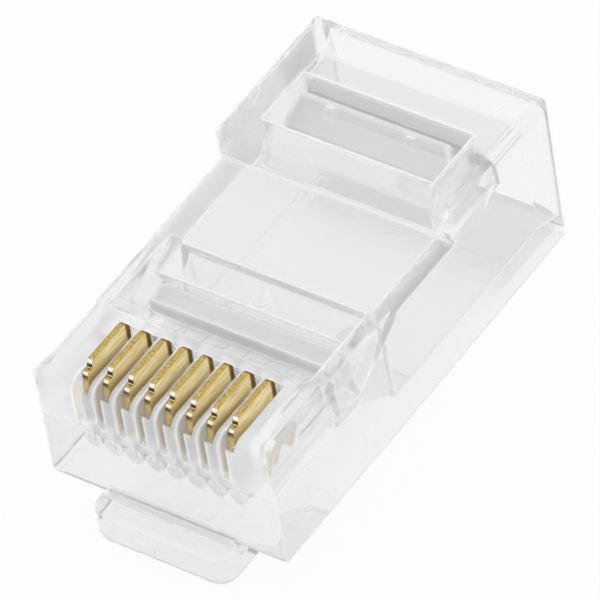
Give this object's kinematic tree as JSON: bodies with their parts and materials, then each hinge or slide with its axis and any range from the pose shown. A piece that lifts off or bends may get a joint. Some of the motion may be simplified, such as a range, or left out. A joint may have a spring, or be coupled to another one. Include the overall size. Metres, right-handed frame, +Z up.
{
  "type": "modular plug",
  "caption": "Clear modular plug for twisted-pair network cable, with a sprung latch, a row of gold blade contacts and a cable anchor in a window.",
  "frame": {"origin": "centre of the footprint at the lowest point, where the latch touches the surface the plug lies on", "axes": "+Z up with the plug lying on its latch; +X across the contact row; +Y from the nose towards the cable entry"},
  "size_m": [0.0116, 0.022, 0.0142],
  "materials": {
    "clear_polycarbonate": "clear, polished mould surface",
    "contact_gold": "thin gold plating over copper alloy, semi-bright"
  },
  "bodies": {
    "housing": {"housing": "clear_polycarbonate"},
    "latch": {"latch": "clear_polycarbonate"},
    "wire_anchor": {"wire_anchor": "clear_polycarbonate"},
    "cable_anchor": {"cable_anchor": "clear_polycarbonate"},
    "contact_1": {"contact_1": "contact_gold"},
    "contact_2": {"contact_2": "contact_gold"},
    "contact_3": {"contact_3": "contact_gold"},
    "contact_4": {"contact_4": "contact_gold"},
    "contact_5": {"contact_5": "contact_gold"},
    "contact_6": {"contact_6": "contact_gold"},
    "contact_7": {"contact_7": "contact_gold"},
    "contact_8": {"contact_8": "contact_gold"}
  },
  "joints": [
    {"name": "latch_flex", "type": "hinge", "parent": "housing", "child": "latch", "pos_m": [0, -0.00925, 0.00167], "axis": [1, 0, 0], "range_deg": [0, 16], "stiffness_Nm_per_rad": 0.05},
    {"name": "cable_anchor_turn", "type": "hinge", "parent": "housing", "child": "cable_anchor", "pos_m": [0, 0.00633, 0.01227], "axis": [1, 0, 0], "range_deg": [0, 32]},
    {"name": "wire_anchor_press", "type": "slide", "parent": "housing", "child": "wire_anchor", "axis": [0, 0.2258, -0.9742], "range_m": [0, 0.00085]},
    {"name": "contact_1_press", "type": "slide", "parent": "housing", "child": "contact_1", "axis": [0, 0.2258, -0.9742], "range_m": [0, 0.0006]},
    {"name": "contact_2_press", "type": "slide", "parent": "housing", "child": "contact_2", "axis": [0, 0.2258, -0.9742], "range_m": [0, 0.0006]},
    {"name": "contact_3_press", "type": "slide", "parent": "housing", "child": "contact_3", "axis": [0, 0.2258, -0.9742], "range_m": [0, 0.0006]},
    {"name": "contact_4_press", "type": "slide", "parent": "housing", "child": "contact_4", "axis": [0, 0.2258, -0.9742], "range_m": [0, 0.0006]},
    {"name": "contact_5_press", "type": "slide", "parent": "housing", "child": "contact_5", "axis": [0, 0.2258, -0.9742], "range_m": [0, 0.0006]},
    {"name": "contact_6_press", "type": "slide", "parent": "housing", "child": "contact_6", "axis": [0, 0.2258, -0.9742], "range_m": [0, 0.0006]},
    {"name": "contact_7_press", "type": "slide", "parent": "housing", "child": "contact_7", "axis": [0, 0.2258, -0.9742], "range_m": [0, 0.0006]},
    {"name": "contact_8_press", "type": "slide", "parent": "housing", "child": "contact_8", "axis": [0, 0.2258, -0.9742], "range_m": [0, 0.0006]}
  ]
}
